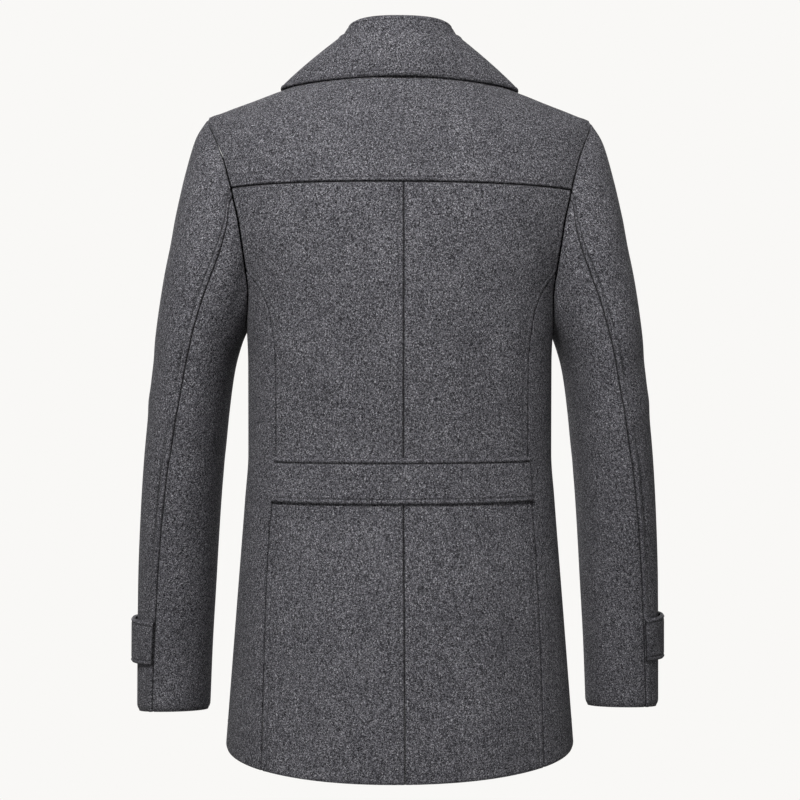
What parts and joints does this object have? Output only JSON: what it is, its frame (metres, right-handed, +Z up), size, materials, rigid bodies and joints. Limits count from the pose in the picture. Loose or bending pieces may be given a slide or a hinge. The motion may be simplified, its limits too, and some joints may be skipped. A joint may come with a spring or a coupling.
{
  "type": "winter coat",
  "caption": "Hollow mid-length wool coat in its worn form, with a back yoke, half belt, turned-down collar over a stand, and buttoned cuff tabs.",
  "frame": {"origin": "on the shoulder line in the centre of the neck, at the height of the neck seam at the centre back", "axes": "+Z up, +Y out of the wearer's back, +X towards the wearer's left"},
  "size_m": [0.6018, 0.3032, 0.7968],
  "materials": {
    "wool_melton": "milled wool melton in a grey melange, brushed and matte",
    "horn_button": "moulded resin button with a satin horn finish"
  },
  "bodies": {
    "root": {"yoke_back": "wool_melton", "back_left": "wool_melton", "back_right": "wool_melton", "front_left": "wool_melton", "front_right": "wool_melton", "collar": "wool_melton", "collar_stand": "wool_melton", "sleeve_top_left": "wool_melton", "sleeve_top_right": "wool_melton", "sleeve_under_left": "wool_melton", "sleeve_under_right": "wool_melton", "belt_back": "wool_melton", "cuff_tab_left": "wool_melton", "cuff_tab_right": "wool_melton", "button_front_1": "horn_button", "button_front_2": "horn_button", "button_front_3": "horn_button", "button_front_4": "horn_button", "button_cuff_left": "horn_button", "button_cuff_right": "horn_button"}
  },
  "joints": []
}
